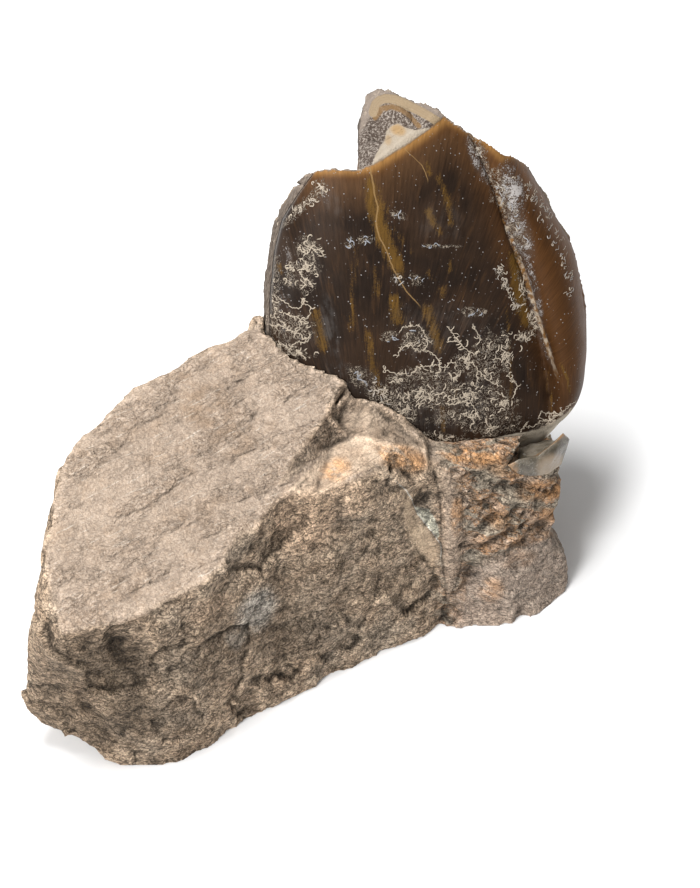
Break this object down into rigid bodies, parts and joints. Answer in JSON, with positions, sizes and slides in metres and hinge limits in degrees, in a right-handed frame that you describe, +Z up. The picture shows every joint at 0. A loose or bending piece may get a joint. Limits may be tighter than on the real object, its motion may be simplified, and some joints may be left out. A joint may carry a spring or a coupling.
{
  "type": "fossil titanothere tooth in matrix",
  "caption": "Dark brown fossil titanothere tooth, with a worn cusp and glossy enamel, standing in a pale broken block of rock matrix with a grey chalcedony nodule.",
  "frame": {"origin": "on the flat fracture that the block rests on, below the middle of the specimen", "axes": "+Z up out of the resting face, -Y towards the tooth's outer enamel wall and the broken front wall, +X to the viewer's right when facing them"},
  "size_m": [0.115, 0.1044, 0.1019],
  "materials": {
    "rock": "matte",
    "enamel": "gloss",
    "chalcedony": "polished"
  },
  "bodies": {
    "root": {"matrix": "rock", "tooth": "enamel", "chalcedony": "chalcedony"}
  },
  "joints": []
}
